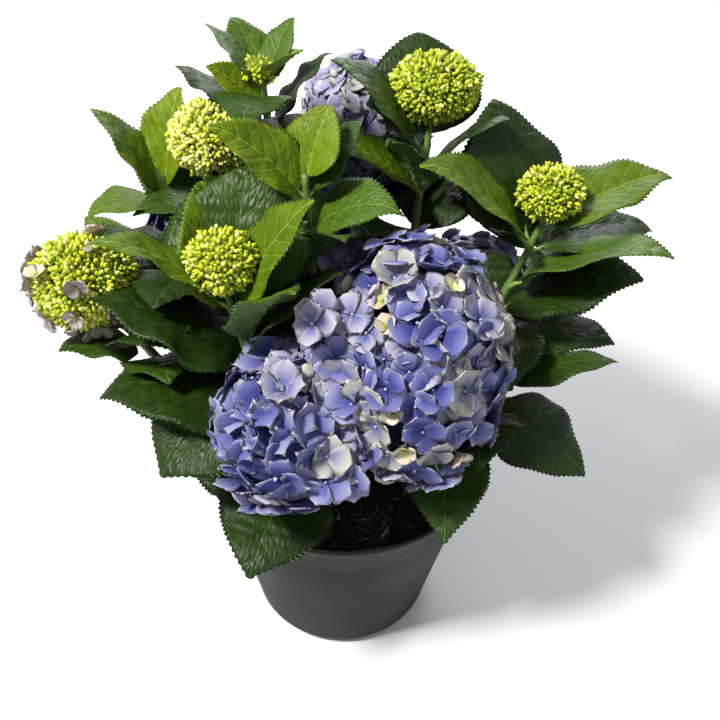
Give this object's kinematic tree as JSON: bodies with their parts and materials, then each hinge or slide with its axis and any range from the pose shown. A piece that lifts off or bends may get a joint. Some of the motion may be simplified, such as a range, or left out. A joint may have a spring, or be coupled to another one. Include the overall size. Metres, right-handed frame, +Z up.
{
  "type": "potted hydrangea shrub",
  "caption": "Flowering garden shrub in a round nursery pot: leafy canes with blue mophead blooms and green bud heads.",
  "frame": {"origin": "middle of the flat underside of the pot", "axes": "+Z up along the pot's axis; the shrub's best side, with the two large blooms, faces -Y; +X is to the right seen from there"},
  "size_m": [0.4932, 0.3823, 0.4806],
  "materials": {
    "pot_plastic": "satin dark grey moulded plastic",
    "potting_bark": "damp shredded bark and coir",
    "cane_bark": "fibrous young bark, green towards the tips",
    "leaf": "quilted leaf, glossy above and dull beneath",
    "blue_blossom": "soft matt sepals, blue with cream edges",
    "green_buds": "waxy yellow-green buds"
  },
  "bodies": {
    "root": {"buds_front_middle": "green_buds", "buds_left": "green_buds", "buds_rear": "green_buds", "buds_right": "green_buds", "buds_top": "green_buds", "buds_top_right": "green_buds", "buds_upper_left": "green_buds", "cane_back": "cane_bark", "cane_back_left": "cane_bark", "cane_back_right": "cane_bark", "cane_centre": "cane_bark", "cane_front_left": "cane_bark", "cane_front_middle": "cane_bark", "cane_front_right": "cane_bark", "cane_left": "cane_bark", "cane_left_fan": "cane_bark", "cane_left_rear": "cane_bark", "cane_low_right": "cane_bark", "cane_middle": "cane_bark", "cane_rear": "cane_bark", "cane_right": "cane_bark", "cane_right_rear": "cane_bark", "cane_top": "cane_bark", "cane_top_right": "cane_bark", "cane_upper_left": "cane_bark", "foliage_back": "leaf", "foliage_back_left": "leaf", "foliage_back_right": "leaf", "foliage_centre": "leaf", "foliage_front_left": "leaf", "foliage_front_middle": "leaf", "foliage_front_right": "leaf", "foliage_left": "leaf", "foliage_left_fan": "leaf", "foliage_left_rear": "leaf", "foliage_low_right": "leaf", "foliage_middle": "leaf", "foliage_rear": "leaf", "foliage_right": "leaf", "foliage_right_rear": "leaf", "foliage_top": "leaf", "foliage_top_right": "leaf", "foliage_upper_left": "leaf", "mophead_back": "blue_blossom", "mophead_back_left": "blue_blossom", "mophead_back_right": "blue_blossom", "mophead_front_left": "blue_blossom", "mophead_front_right": "blue_blossom", "mophead_middle": "blue_blossom", "pot": "pot_plastic", "potting_bark": "potting_bark", "woody_crown": "cane_bark"}
  },
  "joints": []
}
